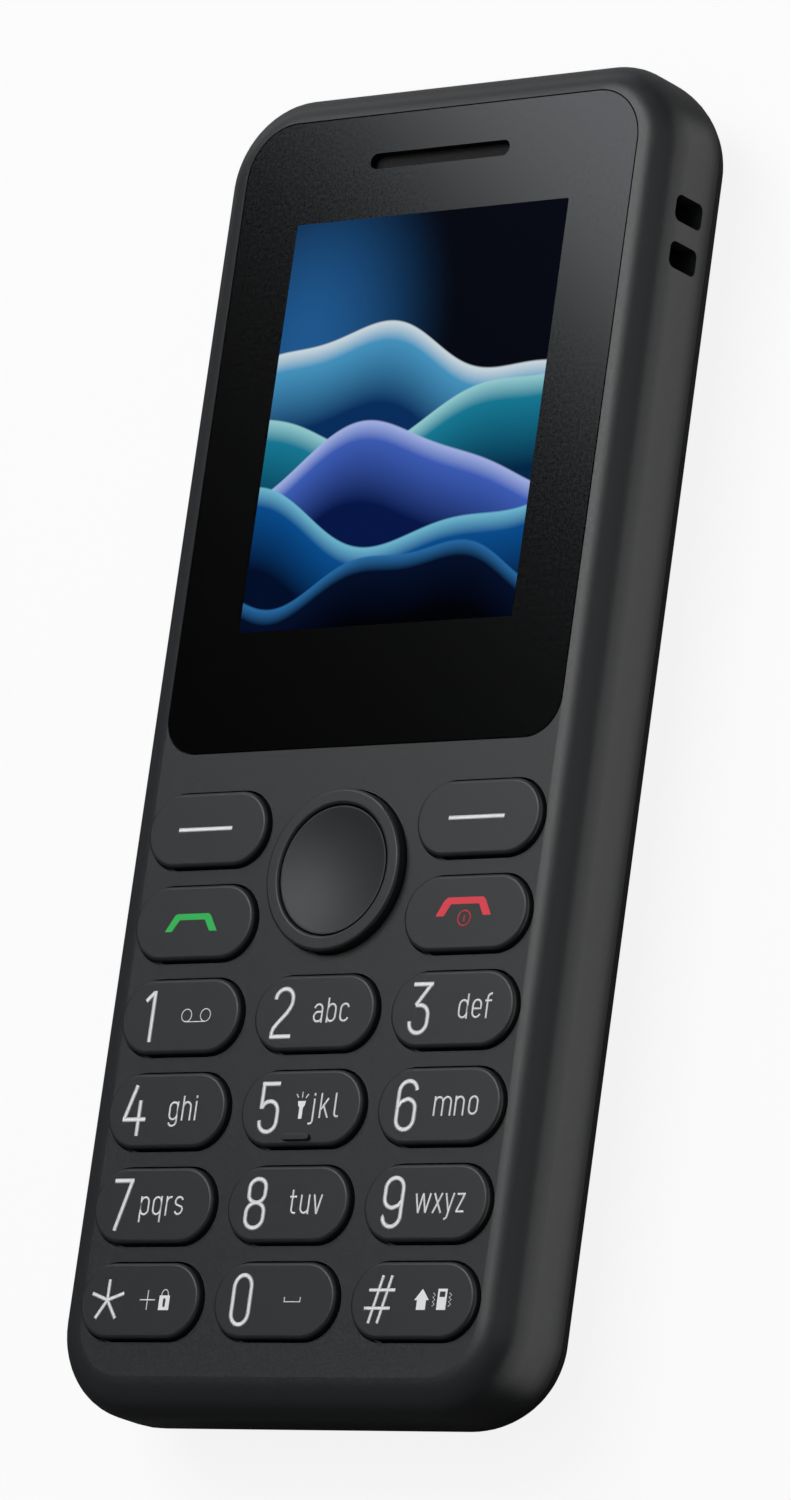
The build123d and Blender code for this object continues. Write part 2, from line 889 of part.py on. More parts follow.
def motor_weight():
    low = motor_offset_x + weight_gap
    disc = bar_x(weight_radius, low, low + weight_length, motor_y, motor_z)
    high = low + weight_length + overrun
    cut = block(low - overrun, high, motor_y - overrun, motor_y + overrun, motor_z, motor_z + overrun)
    weight = disc - cut + bar_x(shaft_radius * 2, low, low + weight_length, motor_y, motor_z)
    return weight - bar_x(shaft_radius, low - overrun, high, motor_y, motor_z)


def motor_cradle():
    reach = motor_radius + cradle_wall
    low_z = motor_z - motor_radius
    cradle = block(motor_low_x(), motor_offset_x, motor_y - reach, motor_y + reach, low_z, chassis_top)
    hollow = motor_radius + fit_gap
    cradle -= bar_x(hollow, motor_low_x() - overrun, motor_offset_x + overrun, motor_y, motor_z)
    room = block(
        motor_low_x() - overrun,
        motor_offset_x + overrun,
        motor_y - hollow,
        motor_y + hollow,
        low_z - overrun,
        motor_z,
    )
    return cradle - room


def mic_room(grow):
    """The rubber boot's block, grown by a clearance."""
    reach = mic_radius + boot_wall + grow
    low_z = mic_hole_height - mic_hole_radius - boot_wall - grow
    return block(mic_x - reach, mic_x + reach, -inner_end, mic_y + reach, low_z, board_bottom)


def microphone():
    return rod(mic_radius, mic_x, mic_y, board_bottom - mic_height, board_bottom)


def microphone_boot():
    boot = mic_room(0) & cavity & layer(0, board_bottom)
    boot -= rod(mic_radius, mic_x, mic_y, board_bottom - mic_height, board_bottom + overrun)
    boot -= bar_y(mic_hole_radius, mic_x, -half_length, mic_y, mic_hole_height)
    boot -= rod(mic_hole_radius, mic_x, mic_y, mic_hole_height, board_bottom)
    return boot


def antenna():
    edge = bottom_boss_y + boss_radius + antenna_gap
    low_x = max(mic_x + mic_radius + boot_wall + fit_gap, -antenna_length / 2)
    high_z = chassis_top + antenna_thickness
    return block(low_x, antenna_length / 2, edge, edge + antenna_width, chassis_top, high_z)


def rear_housing():
    tray = chassis_form & layer(0, chassis_top)
    cap = outer & layer(0, parting_height - parting_seam)
    cap &= block(-body_width, body_width, cap_start, body_length, 0, body_depth)
    tray += cap
    tray -= bay_pockets()
    tray -= cap_pockets()
    for x, y in boss_places:
        tray += rod(boss_radius, x, y, floor_bottom, board_bottom)
    tray += motor_cradle()
    tray += speaker_fence() & cavity
    tray += cap_posts() & cavity
    for x, y in boss_places:
        tray -= rod(screw_hole_radius, x, y, floor_bottom - overrun, board_bottom + overrun)
        tray -= rod(screw_head_radius + fit_gap, x, y, -overrun, floor_bottom)
    tray -= connector_room(fit_gap)
    for spring in springs(fit_gap):
        tray -= spring
    low_x, high_x, low_y, high_y = sim_room(fit_gap)
    tray -= block(low_x, high_x, low_y, high_y, floor_bottom - overrun, face)
    tray -= mic_room(fit_gap) + Pos(0, -overrun, 0) * mic_room(fit_gap)
    tray -= strap_room(strap_pocket_wall + fit_gap)
    tray -= rail_grooves()
    tray -= grille()
    tray -= top_end_rooms()
    tray -= end_openings()
    return tray


def bay_pockets():
    """The battery bay and the room at the bottom end, open to the back."""
    bay_end = battery_low_y - battery_gap
    high_y = battery_top_y + battery_gap
    bay = block(-bay_half_width, bay_half_width, bay_end, high_y, -overrun, floor_bottom)
    low_end = block(-inner_side, inner_side, -inner_end, bay_end - chassis_wall, -overrun, floor_bottom)
    low_end &= chassis_hollow + Pos(0, 0, -case_wall) * chassis_hollow
    return bay + low_end


def cap_pockets():
    """The hollow of the upper end cap, open towards the board."""
    start = cap_start + chassis_wall
    low = block(-half_width, half_width, start, half_length, case_wall, parting_height - cap_ledge)
    high = block(-half_width, half_width, start, half_length, case_wall, chassis_top + overrun)
    return (low & cavity) + (high & chassis_hollow)


def speaker_fence():
    high = speaker_bottom + speaker_height
    fence = prism(speaker_outline(fence_gap + fence_wall), 0, speaker_y, case_wall - fit_gap, high)
    return fence - prism(speaker_outline(fence_gap), 0, speaker_y, 0, face)


def cap_posts():
    y = inner_end - jack_length - boss_radius - fit_gap * 4
    posts = [rod(boss_radius, side, y, case_wall - fit_gap, board_bottom) for side in (-jack_x, jack_x)]
    return posts[0] + posts[1]


def grille():
    slots = []
    span = grille_pitch * (grille_slot_count - 1)
    for number in range(grille_slot_count):
        y = speaker_y - span / 2 + grille_pitch * number
        outline = SlotOverall(grille_slot_length, grille_slot_width)
        slots.append(prism(outline, 0, y, -overrun, case_wall + fit_gap))
    return slots


def top_end_rooms():
    """Room for the two sockets and the torch in the upper end cap."""
    gap = fit_gap
    jack = jack_room(gap) + Pos(0, overrun, 0) * jack_room(gap)
    half = usb_width / 2 + gap
    low_y = half_length - usb_lip - usb_depth - gap
    usb = block(usb_x - half, usb_x + half, low_y, half_length, usb_z - usb_height / 2 - gap, face)
    lens = torch_lens_radius + gap
    low_z = torch_height - lens
    torch = block(-lens, lens, inner_end - overrun, half_length, low_z, face)
    return (jack + usb + torch) & cavity


def rail(grow, low_y, high_y):
    """One cover rail, drawn for the right side, grown by a clearance."""
    outside = half_width - cover_wall + fit_gap
    inside = half_width - cover_wall - rail_depth - grow
    return block(inside, outside, low_y, high_y, rail_top - rail_height - grow, rail_top + grow)


def rail_grooves():
    groove = rail(groove_gap, -half_length, cap_start)
    return groove + mirror(groove, Plane.YZ)


def battery_cover():
    shell = (outer - cover_cavity) & layer(0, parting_height - parting_seam)
    edge = cap_start - parting_seam
    shell &= block(-body_width, body_width, -body_length, edge, 0, body_depth)
    reach = (battery_top_y - battery_low_y) * rail_length_share / 2
    strip = rail(0, battery_y - reach, battery_y + reach) & case_form(cover_wall / 2)
    shell += strip
    shell += mirror(strip, Plane.YZ)
    return shell - thumb_scoop()


def thumb_scoop():
    """A shallow hollow across the cover near its seam, for the thumb that pushes it down."""
    chord = thumb_length / 2
    radius = (chord * chord + thumb_depth * thumb_depth) / (2 * thumb_depth)
    half = thumb_width / 2
    y = cap_start - thumb_from_seam
    return bar_x(radius, -half, half, y, thumb_depth - radius)


save(front_housing(), "front_housing")
save(rear_housing(), "rear_housing")
save(battery_cover(), "battery_cover")
save(display_window(), "display_window")
save(window_adhesive(), "window_adhesive")
save(earpiece_mesh(), "earpiece_mesh")
save(display_gasket(), "display_gasket")
save(backlight_unit(), "backlight_unit")
save(lcd_panel(), "lcd_panel")
save(display_flex(), "display_flex")
save(earpiece(), "earpiece")
for key_name, (key_column, key_row) in key_places.items():
    save(keycap(key_name, key_column, key_row), key_name)
save(nav_ring(), "nav_ring")
save(select_key(), "select_key")
save(nav_pad(), "nav_pad")
save(keymat(), "keymat")
save(dome_film(), "dome_film")
save(snap_domes(), "snap_domes")
save(keypad_leds(), "keypad_leds")
save(main_board(), "main_board")
save(audio_jack(), "audio_jack")
save(usb_socket(), "usb_socket")
save(torch_lens(), "torch_lens")
save(torch_led(), "torch_led")
save(baseband_shield(), "baseband_shield")
save(power_shield(), "power_shield")
save(sim_holder(), "sim_holder")
save(battery(), "battery")
save(battery_contacts(), "battery_contacts")
save(battery_connector(), "battery_connector")
save(connector_springs(), "connector_springs")
save(case_screws(), "case_screws")
save(loudspeaker(), "loudspeaker")
save(speaker_membrane(), "speaker_membrane")
save(speaker_gasket(), "speaker_gasket")
save(vibration_motor(), "vibration_motor")
save(motor_shaft(), "motor_shaft")
save(motor_weight(), "motor_weight")
save(microphone(), "microphone")
save(microphone_boot(), "microphone_boot")
save(antenna(), "antenna")
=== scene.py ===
import json
import math

import bpy
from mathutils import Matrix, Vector


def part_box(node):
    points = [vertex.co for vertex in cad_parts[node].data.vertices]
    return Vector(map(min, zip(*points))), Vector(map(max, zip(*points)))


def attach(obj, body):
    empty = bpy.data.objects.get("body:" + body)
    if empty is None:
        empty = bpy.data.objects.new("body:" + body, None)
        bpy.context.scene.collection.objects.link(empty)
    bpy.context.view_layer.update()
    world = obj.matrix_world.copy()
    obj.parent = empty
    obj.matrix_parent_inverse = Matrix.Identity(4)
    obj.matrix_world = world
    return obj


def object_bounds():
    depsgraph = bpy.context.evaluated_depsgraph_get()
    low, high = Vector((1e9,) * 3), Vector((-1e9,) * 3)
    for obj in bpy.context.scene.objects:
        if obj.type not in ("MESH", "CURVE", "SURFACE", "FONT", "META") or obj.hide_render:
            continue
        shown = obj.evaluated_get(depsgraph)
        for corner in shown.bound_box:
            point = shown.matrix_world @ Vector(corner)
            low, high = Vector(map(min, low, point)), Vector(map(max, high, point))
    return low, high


bl_info = {
    "name": "Keypad phone looks",
    "version": (1, 0, 0),
    "blender": (4, 5, 0),
    "location": "3D View > Sidebar > Phone",
    "description": "Finishes, key printing, display picture and stage for a keypad mobile phone",
    "category": "Object",
}

# Metres. The phone lies on its back, +Z points out of the display and +Y to the earpiece.
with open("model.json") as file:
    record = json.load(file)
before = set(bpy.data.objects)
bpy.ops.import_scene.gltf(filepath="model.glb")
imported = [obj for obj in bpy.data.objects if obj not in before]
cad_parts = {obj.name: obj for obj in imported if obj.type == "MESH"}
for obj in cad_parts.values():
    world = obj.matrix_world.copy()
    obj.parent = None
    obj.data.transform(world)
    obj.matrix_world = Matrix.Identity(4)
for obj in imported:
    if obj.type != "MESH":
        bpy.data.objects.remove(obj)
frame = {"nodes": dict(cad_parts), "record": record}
BOUNDS_AT_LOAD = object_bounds()
MM = 0.001

FINISH_OF_NODE = {part["node"]: part["material_slot"] for part in frame["record"]["subparts"]}
KEYS = sorted(name for name in frame["nodes"] if name.startswith("key_"))
WINDOW_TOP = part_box("display_window")[1].z
KEY_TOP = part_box("key_1")[1].z


def linear(code):
    """An sRGB hex colour as linear red, green, blue and alpha."""
    parts = [int(code[start : start + 2], 16) / 255 for start in (0, 2, 4)]
    return [c / 12.92 if c <= 0.04045 else ((c + 0.055) / 1.055) ** 2.4 for c in parts] + [1.0]


def colour_prop(name, description, code):
    return bpy.props.FloatVectorProperty(
        name=name, description=description, subtype="COLOR", size=4, min=0, max=1, default=linear(code)
    )


def size_prop(name, description, default):
    return bpy.props.FloatProperty(name=name, description=description, default=default, unit="LENGTH")


def level_prop(name, description, default):
    return bpy.props.FloatProperty(name=name, description=description, default=default, min=0)


class PhoneFinish(bpy.types.PropertyGroup):
    """Colours of the outside of the phone."""

    case: colour_prop("Case", "Moulded case and battery cover", "282a2c")
    keys: colour_prop("Keys", "Key caps, navigation ring and select key", "292b2d")
    window: colour_prop("Window", "Black printing behind the window", "030303")
    chassis: colour_prop("Chassis", "Rear housing and its end cap", "282a2c")
    grain: size_prop("Case grain", "Width of one grain of the eroded mould", 0.25 * MM)
    key_grain: size_prop("Key grain", "Width of one grain of the key caps", 0.18 * MM)


class PhonePrinting(bpy.types.PropertyGroup):
    """Printing on the keys and the picture on the display."""

    ink: colour_prop("Ink", "Numbers, letters and symbols", "fafbfc")
    call: colour_prop("Call symbol", "Symbol on the call key", "28c257")
    end: colour_prop("End symbol", "Symbol on the end key", "ec3a4a")
    ink_height: size_prop("Ink height", "How far the ink stands above a key", 0.012 * MM)
    picture_width: size_prop("Picture width", "Lit width of the display", 28.03 * MM)
    picture_length: size_prop("Picture length", "Lit length of the display", 35.04 * MM)
    picture_middle: size_prop("Picture middle", "Middle of the picture along Y", 26.46 * MM)


class PhoneStage(bpy.types.PropertyGroup):
    """Camera, lights and floor."""

    lens: bpy.props.FloatProperty(name="Lens", description="Focal length", default=200.93, min=1)
    above: level_prop("Light above", "Radiance of the diffuser over the phone", 1.8)
    behind: level_prop("Light behind", "Radiance of the softbox behind the phone", 2.9)
    back: level_prop("Back light", "Radiance of the low card behind on the left", 0.7)
    fill: level_prop("Fill light", "Radiance of the fill card on the right", 0.24)
    room: level_prop("Room light", "Radiance of the room", 0.06)


def add_node(tree, kind, settings=None, links=None):
    """Adds one shader node. Settings are its properties or sockets, links feed its sockets."""
    node = tree.nodes.new(kind)
    for name, value in (settings or {}).items():
        if isinstance(name, str) and hasattr(node, name):
            setattr(node, name, value)
        else:
            node.inputs[name].default_value = value
    for name, source in (links or {}).items():
        tree.links.new(source, node.inputs[name])
    return node


def new_material(name):
    material = bpy.data.materials.new(name)
    material.use_nodes = True
    material.node_tree.nodes.clear()
    return material, material.node_tree


def finish_tree(tree, shader):
    add_node(tree, "ShaderNodeOutputMaterial", links={"Surface": shader.outputs[0]})


# Slow drift of a moulded colour, in waves per metre, and the range that most of a noise stays in.
DRIFT_WAVES = 45.0
NOISE_RANGE = {"From Min": 0.3, "From Max": 0.7}
FINE_SHARE = 0.6


def grained(name, colour, grain, roughness, spread, relief, settings=None, stretch=(1, 1, 1), drift=0.12):
    """A material whose grain has a real width: it moves the gloss, the surface and a little the colour."""
    material, tree = new_material(name)
    place = add_node(tree, "ShaderNodeTexCoord").outputs["Object"]
    turned = add_node(tree, "ShaderNodeMapping", {"Scale": stretch}, {"Vector": place}).outputs[0]
    fine = add_node(
        tree, "ShaderNodeTexNoise", {"Scale": 1 / grain, "Detail": 2.0}, {"Vector": turned}
    ).outputs[0]
    broad = add_node(
        tree, "ShaderNodeTexNoise", {"Scale": DRIFT_WAVES, "Detail": 3.0}, {"Vector": place}
    ).outputs[0]
    mixed = add_node(
        tree, "ShaderNodeMix", {"data_type": "FLOAT", 0: FINE_SHARE}, {2: broad, 3: fine}
    ).outputs[0]
    dark = [c * (1 - drift) for c in colour[:3]] + [1]
    light = [c * (1 + drift) for c in colour[:3]] + [1]
    tint = add_node(
        tree,
        "ShaderNodeMix",
        {"data_type": "RGBA", 6: dark, 7: light},
        {0: mixed},
    ).outputs[2]
    gloss = add_node(
        tree,
        "ShaderNodeMapRange",
        {**NOISE_RANGE, "To Min": roughness - spread, "To Max": roughness + spread},
        {"Value": fine},
    ).outputs[0]
    bump = add_node(
        tree, "ShaderNodeBump", {"Strength": 1.0, "Distance": relief}, {"Height": fine}
    ).outputs[0]
    shader = add_node(
        tree,
        "ShaderNodeBsdfPrincipled",
        settings,
        {"Base Color": tint, "Roughness": gloss, "Normal": bump},
    )
    finish_tree(tree, shader)
    return material


def paint(piece, material):
    if piece.material_slots:
        for slot in piece.material_slots:
            slot.material = material
    else:
        piece.data.materials.append(material)


def clear_selection():
    if bpy.context.object and bpy.context.object.mode != "OBJECT":
        bpy.ops.object.mode_set(mode="OBJECT")
    bpy.ops.object.select_all(action="DESELECT")


def paint_finish(material, *finishes):
    """Gives a material to every CAD node with one of these finishes."""
    for name, finish in FINISH_OF_NODE.items():
        if finish in finishes:
            paint(frame["nodes"][name], material)


# Points of the printing, in millimetres from the middle of a key.

LEFT, RIGHT, MIDDLE, LOW = -4.06, -2.31, -3.185, -1.96
NUMBER_STROKE = 0.44
THIN_STROKES = {"star": 0.37, "hash": 0.33}
LETTER_STROKE = 0.21
LETTER_BASE = -0.87


def arc(x, y, across, up, start, end, steps=14):
    """Points along part of an ellipse, its angles in degrees."""
    turns = [math.radians(start + (end - start) * step / steps) for step in range(steps + 1)]
    return [(x + across * math.cos(turn), y + up * math.sin(turn)) for turn in turns]


def numbers():
    """The centre lines of the numbers, one list of points per stroke."""
    half = (RIGHT - LEFT) / 2
    low_bowl = arc(MIDDLE, -1.1, half, 0.86, 0, -180)
    zero = arc(-3.275, 1.05, 0.865, 0.95, 0, 180) + arc(-3.275, -1.05, 0.865, 0.95, 180, 360)
    upper_loop = arc(MIDDLE, 1.3, 0.82, 0.7, 0, 180) + arc(MIDDLE, 0.78, 0.82, 0.7, 180, 360)
    lower_loop = arc(MIDDLE, -0.72, 0.9, 0.8, 0, 180) + arc(MIDDLE, -1.17, 0.9, 0.8, 180, 360)
    star = [(0, 1.72), (1.66, 0.55), (1.03, -1.48), (-1.03, -1.48), (-1.66, 0.55)]
    return {
        "0": [zero + zero[:1]],
        "1": [[(-2.88, 2.15), (-2.88, -2.1)], [(-3.72, 1.3), (-2.95, 1.98)]],
        "2": [
            arc(MIDDLE, 1.15, half, 0.81, 180, 0)
            + [(-2.33, 0.75), (-2.5, 0.35), (-2.75, 0), (-3.6, -0.85), (-3.95, -1.25), (LEFT, -1.55)]
            + [(LEFT, LOW)],
            [(LEFT - 0.19, LOW), (RIGHT + 0.19, LOW)],
        ],
        "3": [
            [(-4.07, 2.0), (-2.12, 2.0)],
            [(-2.3, 2.0), (-3.62, 0.3)],
            [(-3.62, 0.3), (MIDDLE, 0.3)]
            + arc(MIDDLE, -0.55, half, 0.85, 90, 0)
            + low_bowl
            + [(LEFT, -0.95)],
        ],
        "4": [
            [(-3.31, 2.11), (-4.27, -0.65)],
            [(-4.45, -0.75), (-2.07, -0.75)],
            [(-2.79, 0.87), (-2.79, -2.07)],
        ],
        "5": [
            [(-4.16, 1.97), (-2.36, 1.97)],
            [(-4.0, 2.15), (-4.0, -0.02)],
            [(-3.95, 0.02), (-3.75, 0.33), (-3.45, 0.5)]
            + arc(MIDDLE, -0.35, half, 0.88, 90, 0)
            + low_bowl
            + [(-4.1, -0.98)],
        ],
        "6": [
            arc(MIDDLE, 1.1, half, 0.86, 10, 180)
            + low_bowl[::-1]
            + arc(MIDDLE, -0.3, half, 0.8, 0, 90)
            + [(-3.75, 0.3), (LEFT, -0.15)]
        ],
        "7": [[(-4.25, 1.99), (-2.27, 1.99)], [(-2.42, 1.99), (-3.64, -2.07)]],
        "8": [upper_loop + upper_loop[:1], lower_loop + lower_loop[:1]],
        "9": [
            [(LEFT, -1.2)]
            + low_bowl[::-1]
            + arc(MIDDLE, 1.1, half, 0.86, 0, 180)
            + arc(MIDDLE, 0.35, half, 0.8, 180, 270)
            + [(-2.62, -0.25), (RIGHT, 0.15)]
        ],
        "star": [[(-3.27, 0), (-3.27 + x, y)] for x, y in star],
        "hash": [
            [(-4.05, -1.85), (-3.1, 1.98)],
            [(-3.16, -1.85), (-2.22, 1.98)],
            [(-4.36, 0.78), (-1.77, 0.78)],
            [(-4.64, -0.67), (-2.07, -0.67)],
        ],
    }


def letters():
    """The centre lines of small letters that stand on a base line, their left side at zero."""
    top = arc(0.4, 1.08, 0.4, 0.42, 180, 0)
    bottom = arc(0.4, 0.52, 0.4, 0.42, 0, -180)
    oval = top + bottom + top[:1]
    stem = [(0, 0), (0, 1.6)]
    right_stem = [(0.8, 1.6), (0.8, 0)]
    dot = [(0, 1.84), (0, 2.06)]
    cross_bar = [(-0.05, 1.42), (0.62, 1.42)]
    second_arch = [(x + 0.8, y) for x, y in top]
    return {
        "a": [
            arc(0.4, 1.1, 0.4, 0.4, 165, 0) + [(0.8, 0)],
            [(0.8, 0.88)] + arc(0.38, 0.49, 0.38, 0.39, 90, 270) + [(0.6, 0.12), (0.8, 0.34)],
        ],
        "b": [[(0, 0), (0, 2.04)], oval],
        "c": [arc(0.4, 1.08, 0.4, 0.42, 18, 180) + arc(0.4, 0.52, 0.4, 0.42, 180, 342)],
        "d": [[(0.8, 0), (0.8, 2.04)], oval],
        "e": [
            [(0, 0.8), (0.8, 0.8)] + top[::-1] + arc(0.4, 0.52, 0.4, 0.42, 180, 338)
        ],
        "f": [[(0.2, 0), (0.2, 1.65)] + arc(0.55, 1.65, 0.35, 0.33, 180, 80), cross_bar],
        "g": [oval, [(0.8, 1.6), (0.8, -0.08)] + arc(0.4, -0.08, 0.4, 0.36, 0, -170)],
        "h": [[(0, 0), (0, 2.04)], top + [(0.8, 0)]],
        "i": [stem, dot],
        "j": [[(0, 1.6), (0, -0.2)] + arc(-0.25, -0.2, 0.25, 0.25, 0, -90) + [(-0.42, -0.45)], dot],
        "k": [[(0, 0), (0, 2.04)], [(0.74, 1.6), (0.06, 0.7)], [(0.3, 1.0), (0.8, 0)]],
        "l": [[(0, 2.04), (0, 0.36)] + arc(0.26, 0.36, 0.26, 0.26, 180, 270) + [(0.42, 0.1)]],
        "m": [stem, top + [(0.8, 0)], second_arch + [(1.6, 0)]],
        "n": [stem, top + [(0.8, 0)]],
        "o": [oval],
        "p": [[(0, -0.54), (0, 1.6)], oval],
        "q": [[(0.8, -0.54), (0.8, 1.6)], oval],
        "r": [stem, arc(0.42, 1.08, 0.42, 0.42, 180, 78)],
        "s": [
            arc(0.4, 1.12, 0.38, 0.38, 22, 195)
            + [(0.12, 0.9), (0.68, 0.7)]
            + arc(0.4, 0.48, 0.38, 0.38, 15, -160)
        ],
        "t": [[(0.2, 2.0), (0.2, 0.4)] + arc(0.5, 0.4, 0.3, 0.3, 180, 270) + [(0.64, 0.1)], cross_bar],
        "u": [[(0, 1.6), (0, 0.52)] + arc(0.4, 0.52, 0.4, 0.42, 180, 360), right_stem],
        "v": [[(0, 1.6), (0.4, 0.02)], [(0.8, 1.6), (0.4, 0.02)]],
        "w": [
            [(0.36 * n, 1.6 - 1.58 * (n % 2)), (0.36 * n + 0.36, 0.02 + 1.58 * (n % 2))] for n in range(4)
        ],
        "x": [[(0, 1.6), (0.8, 0)], [(0.8, 1.6), (0, 0)]],
        "y": [[(0, 1.6), (0.42, 0.05)], [(0.8, 1.6), (0.3, -0.36), (0.05, -0.52)]],
        "z": [[(0, 1.5), (0.8, 1.5)], [(0.74, 1.5), (0.06, 0.1)], [(0, 0.1), (0.8, 0.1)]],
    }


LETTERS_ON_KEY = {
    "2": {"a": 0.04, "b": 1.4, "c": 2.72},
    "3": {"d": 0.75, "e": 2.1, "f": 3.3},
    "4": {"g": 0.39, "h": 1.75, "i": 3.08},
    "5": {"j": 1.35, "k": 2.04, "l": 3.5},
    "6": {"m": -0.37, "n": 1.7, "o": 3.06},
    "7": {"p": -1.2, "q": 0.1, "r": 1.47, "s": 2.36},
    "8": {"t": 0.3, "u": 1.41, "v": 2.68},
    "9": {"w": -0.96, "x": 0.85, "y": 2.0, "z": 3.12},
}


def zigzag(x_one, x_two):
    """One column of the shaking lines beside a ringing phone."""
    return [(x_two if step % 2 else x_one, 0.58 - 0.18 * step) for step in range(7)]


def ring(x, y, across, up):
    return arc(x, y, across, up, 0, 360, 24)


def symbols():
    """Small symbols as pairs: a stroke's width and its lines, or zero and the outlines of a filled shape."""
    torch = [(-0.34, 0.55), (0.46, 0.55), (0.4, 0.2), (0.24, 0), (0.24, -0.9), (-0.12, -0.9), (-0.12, 0)]
    padlock = [(2.13, -0.8), (3.2, -0.8), (3.2, 0.4), (2.13, 0.4)]
    keyhole = arc(2.665, 0.04, 0.13, 0.14, 0, 180) + arc(2.665, -0.42, 0.13, 0.14, 180, 360)
    arrow = [(0.97, 0.9), (1.7, 0), (1.42, 0), (1.42, -0.78), (0.53, -0.78), (0.53, 0), (0.25, 0)]
    handset = [(2.52, -0.78), (3.43, -0.78), (3.43, 0.9), (2.52, 0.9)]
    screen = [(2.7, 0.25), (3.25, 0.25), (3.25, 0.68), (2.7, 0.68)]
    return {
        # Voice mail: two reels on a tape.
        "1": [
            (0.1, [ring(0.71, 0.03, 0.52, 0.52), ring(2.67, 0.03, 0.52, 0.52), [(0.71, -0.5), (2.67, -0.5)]])
        ],
        # Torch with three rays.
        "5": [
            (0, [torch + [(-0.28, 0.2)]]),
            (
                0.12,
                [[(-0.56, 1.13), (-0.34, 0.83)], [(0.05, 1.3), (0.05, 0.82)], [(0.66, 1.1), (0.42, 0.8)]],
            ),
        ],
        # Plus sign and padlock.
        "star": [
            (0.12, [[(0.1, 0.04), (1.7, 0.04)], [(0.9, -0.76), (0.9, 0.84)]]),
            (0, [padlock, keyhole]),
            (0.1, [[(2.34, 0.35)] + arc(2.67, 0.45, 0.33, 0.42, 180, 0) + [(3.0, 0.35)]]),
        ],
        # Space.
        "0": [(0.13, [[(1.1, 0.25), (1.1, -0.13), (2.7, -0.13), (2.7, 0.25)]])],
        # Shift arrow and shaking phone.
        "hash": [
            (0, [arrow]),
            (0, [handset, screen]),
            (0.08, [zigzag(2.06, 2.28), zigzag(3.65, 3.9)]),
        ],
        # Dash of both soft keys.
        "soft": [(0.42, [[(-2.92, -0.03), (2.64, -0.03)]])],
        # Handset lying down.
        "call": [
            (
                0,
                [
                    [(-2.87, -0.75), (-2.03, 0.57), (-1.79, 0.73)]
                    + [(1.49, 0.73), (1.73, 0.57), (2.57, -0.75)]
                    + [(1.77, -0.75), (1.17, 0.21), (-1.47, 0.21), (-2.15, -0.75)]
                ],
            )
        ],
        # Handset above a power sign.
        "end": [
            (
                0,
                [
                    [(-2.89, -0.27), (-2.21, 0.97), (-1.85, 1.25)]
                    + [(1.67, 1.25), (1.95, 0.97), (2.63, -0.27)]
                    + [(1.83, -0.27), (1.31, 0.69), (-1.49, 0.69), (-2.09, -0.27)]
                ],
            ),
            (0.13, [ring(0, -0.47, 0.62, 0.62), [(0, -0.74), (0, -0.2)]]),
        ],
    }


def ink_lines(lines, width, key_name):
    """Inks lines on a key, as curves with a round section that are pressed flat."""
    height = bpy.context.scene.phone_printing.ink_height
    low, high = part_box(key_name)
    x, y = (low.x + high.x) / 2, (low.y + high.y) / 2
    clear_selection()
    bpy.ops.curve.primitive_nurbs_path_add(location=(0, 0, 0))
    piece = bpy.context.object
    curve = piece.data
    curve.splines.clear()
    curve.dimensions = "3D" if width else "2D"
    level = KEY_TOP + height / 3 if width else 0
    for line in lines:
        spline = curve.splines.new("POLY")
        closed = not width or line[0] == line[-1]
        points = line[:-1] if closed and width else line
        spline.points.add(len(points) - 1)
        for point, (across, up) in zip(spline.points, points):
            point.co = (x + across * MM, y + up * MM, level, 1)
        spline.use_cyclic_u = closed
    curve.bevel_depth = width * MM / 2
    curve.bevel_resolution = 0
    curve.use_fill_caps = True
    if not width:
        curve.fill_mode = "BOTH"
        curve.extrude = height / 2
    bpy.ops.object.convert(target="MESH")
    piece = bpy.context.object
    if width:
        flat = height / (width * MM)
        bpy.ops.transform.resize(value=(1, 1, flat), center_override=(0, 0, level))
    else:
        bpy.ops.transform.translate(value=(0, 0, KEY_TOP + height / 2))
    bpy.ops.object.transform_apply(location=True, rotation=True, scale=True)
    return piece


def print_key(key_name, groups, material):
    """Prints groups of lines on one key and lets the print move with it."""
    pieces = [ink_lines(lines, width, key_name) for width, lines in groups]
    clear_selection()
    for piece in pieces:
        piece.select_set(True)
    bpy.context.view_layer.objects.active = pieces[0]
    if len(pieces) > 1:
        bpy.ops.object.join()
    legend = bpy.context.object
    legend.name = "print_on_" + key_name
    legend.data.name = legend.name
    legend.data.materials.clear()
    paint(legend, material)
    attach(legend, key_name)


def ink_material(name, colour):
    # Screen-printed ink, two-part, matt: a thin opaque film whose surface follows the screen's threads.
    return grained(name, colour, 0.12 * MM, 0.5, 0.05, 0.002 * MM, {"IOR": 1.5}, drift=0.05)


